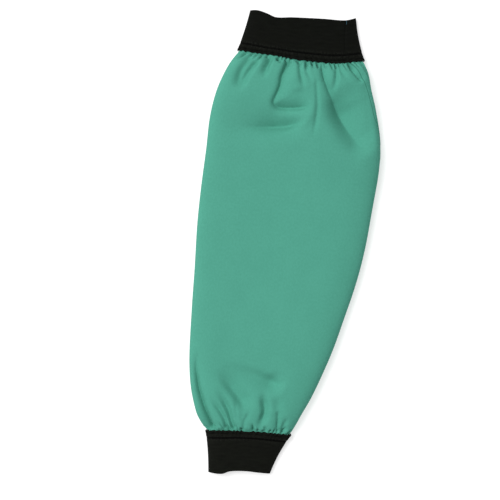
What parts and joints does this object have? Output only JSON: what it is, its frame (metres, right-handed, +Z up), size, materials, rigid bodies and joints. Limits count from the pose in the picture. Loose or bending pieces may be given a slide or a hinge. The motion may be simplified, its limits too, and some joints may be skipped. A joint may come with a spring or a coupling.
{
  "type": "welding sleeve",
  "caption": "Protective work sleeve of green cotton cloth lying flat, a tube open right through and gathered into a wide black elastic cuff at each end.",
  "frame": {"origin": "under the middle of the sleeve's bounding box, on the surface that it lies on", "axes": "+Y along the sleeve from the wrist to the upper arm, +Z up, +X to the right seen from above"},
  "size_m": [0.1724, 0.464, 0.0272],
  "materials": {
    "cloth": "matt twill",
    "elastic": "matt ribbed elastic"
  },
  "bodies": {
    "root": {"sleeve_body": "cloth", "upper_cuff": "elastic", "wrist_cuff": "elastic"}
  },
  "joints": []
}
